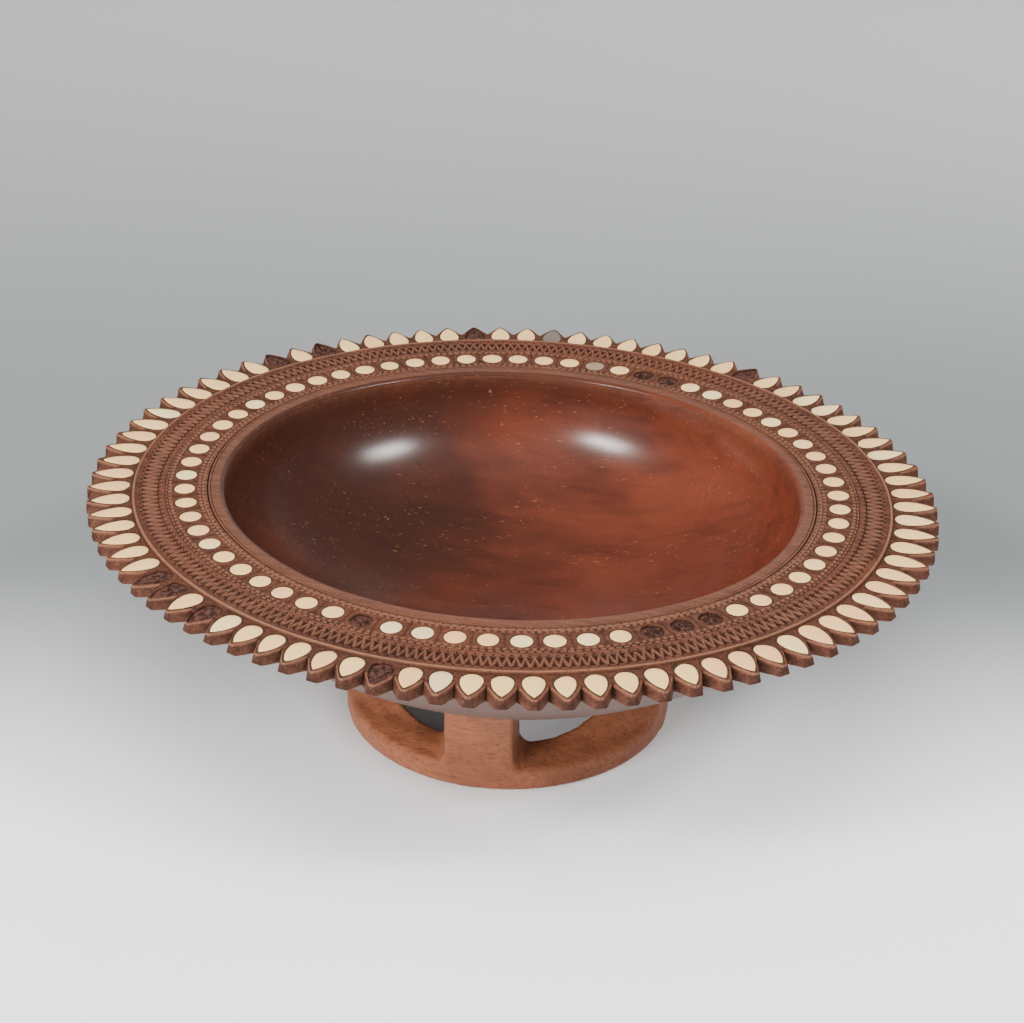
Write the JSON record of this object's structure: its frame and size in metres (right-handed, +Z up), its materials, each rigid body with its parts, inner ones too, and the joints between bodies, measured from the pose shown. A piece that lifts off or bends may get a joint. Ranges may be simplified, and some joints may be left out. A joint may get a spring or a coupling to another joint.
{
  "type": "carved wooden bowl",
  "caption": "Oval footed bowl carved from one block of wood, with a toothed rim, chip-carved bands, shell inlay set in putty, and a pierced ring foot.",
  "frame": {"origin": "middle of the foot ring's flat base, on the surface the bowl stands on", "axes": "+X along the oval's long axis, +Y along its short axis, +Z up"},
  "size_m": [0.4219, 0.392, 0.1285],
  "materials": {
    "carved_wood": "hand-polished close-grained brown hardwood",
    "pearl_shell": "polished cream mother-of-pearl",
    "dark_putty": "dry, dark nut putty"
  },
  "bodies": {
    "root": {"bowl": "carved_wood", "teardrop_shells_01": "pearl_shell", "teardrop_shells_02": "pearl_shell", "teardrop_shells_03": "pearl_shell", "teardrop_shells_04": "pearl_shell", "teardrop_shells_05": "pearl_shell", "teardrop_shells_06": "pearl_shell", "teardrop_shells_07": "pearl_shell", "teardrop_shells_08": "pearl_shell", "teardrop_shells_09": "pearl_shell", "teardrop_shells_10": "pearl_shell", "teardrop_shells_11": "pearl_shell", "teardrop_shells_12": "pearl_shell", "disc_shells_01": "pearl_shell", "disc_shells_02": "pearl_shell", "disc_shells_03": "pearl_shell", "disc_shells_04": "pearl_shell", "disc_shells_05": "pearl_shell", "disc_shells_06": "pearl_shell", "disc_shells_07": "pearl_shell", "disc_shells_08": "pearl_shell", "disc_shells_09": "pearl_shell", "disc_shells_10": "pearl_shell", "disc_shells_11": "pearl_shell", "disc_shells_12": "pearl_shell", "teardrop_putty_01": "dark_putty", "teardrop_putty_02": "dark_putty", "teardrop_putty_03": "dark_putty", "teardrop_putty_04": "dark_putty", "teardrop_putty_05": "dark_putty", "teardrop_putty_06": "dark_putty", "teardrop_putty_07": "dark_putty", "teardrop_putty_08": "dark_putty", "teardrop_putty_09": "dark_putty", "teardrop_putty_10": "dark_putty", "teardrop_putty_11": "dark_putty", "teardrop_putty_12": "dark_putty", "disc_putty_01": "dark_putty", "disc_putty_02": "dark_putty", "disc_putty_03": "dark_putty", "disc_putty_04": "dark_putty", "disc_putty_05": "dark_putty", "disc_putty_06": "dark_putty", "disc_putty_07": "dark_putty", "disc_putty_08": "dark_putty", "disc_putty_09": "dark_putty", "disc_putty_10": "dark_putty", "disc_putty_11": "dark_putty", "disc_putty_12": "dark_putty"}
  },
  "joints": []
}
